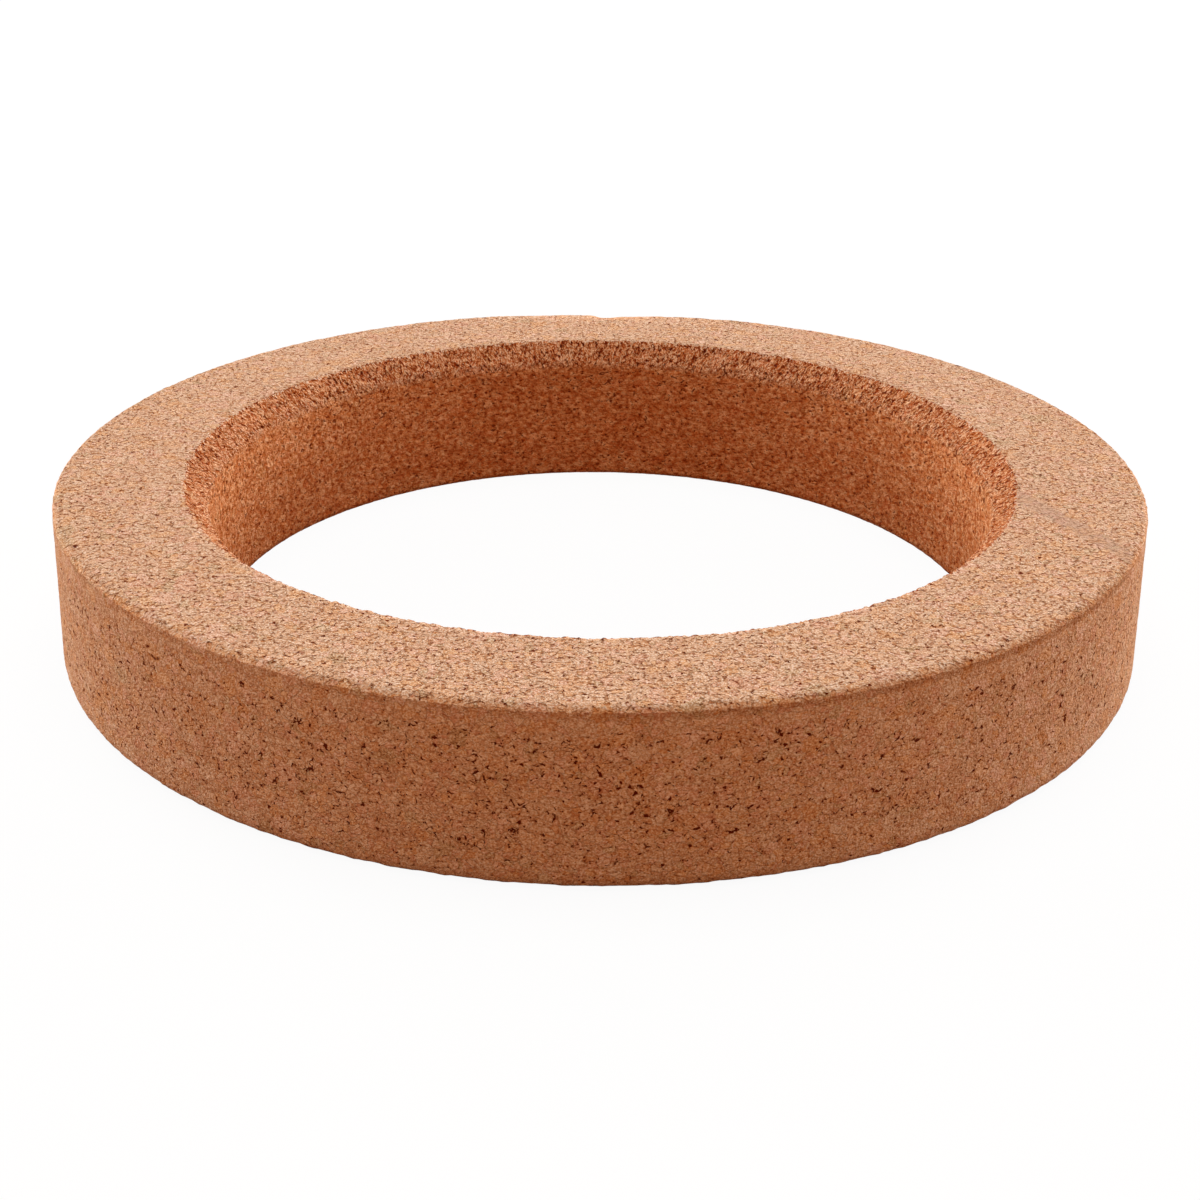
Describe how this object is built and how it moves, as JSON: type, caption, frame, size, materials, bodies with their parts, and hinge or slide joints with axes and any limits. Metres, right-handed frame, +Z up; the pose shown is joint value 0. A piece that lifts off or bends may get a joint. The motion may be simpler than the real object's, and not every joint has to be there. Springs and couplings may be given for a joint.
{
  "type": "cork ring",
  "caption": "Flat pressed-cork ring with a straight bore and a bevelled seat at the top, a bench stand for round-bottom flasks.",
  "frame": {"origin": "centre of the base, on the bore's axis", "axes": "+Z up along the bore's axis, out through the bevelled seat; +Y towards the nick in the rim"},
  "size_m": [0.2016, 0.2016, 0.03],
  "materials": {
    "cork": "matte pressed cork, sanded on top and outside, torn at the bevel"
  },
  "bodies": {
    "root": {"cork_ring": "cork"}
  },
  "joints": []
}
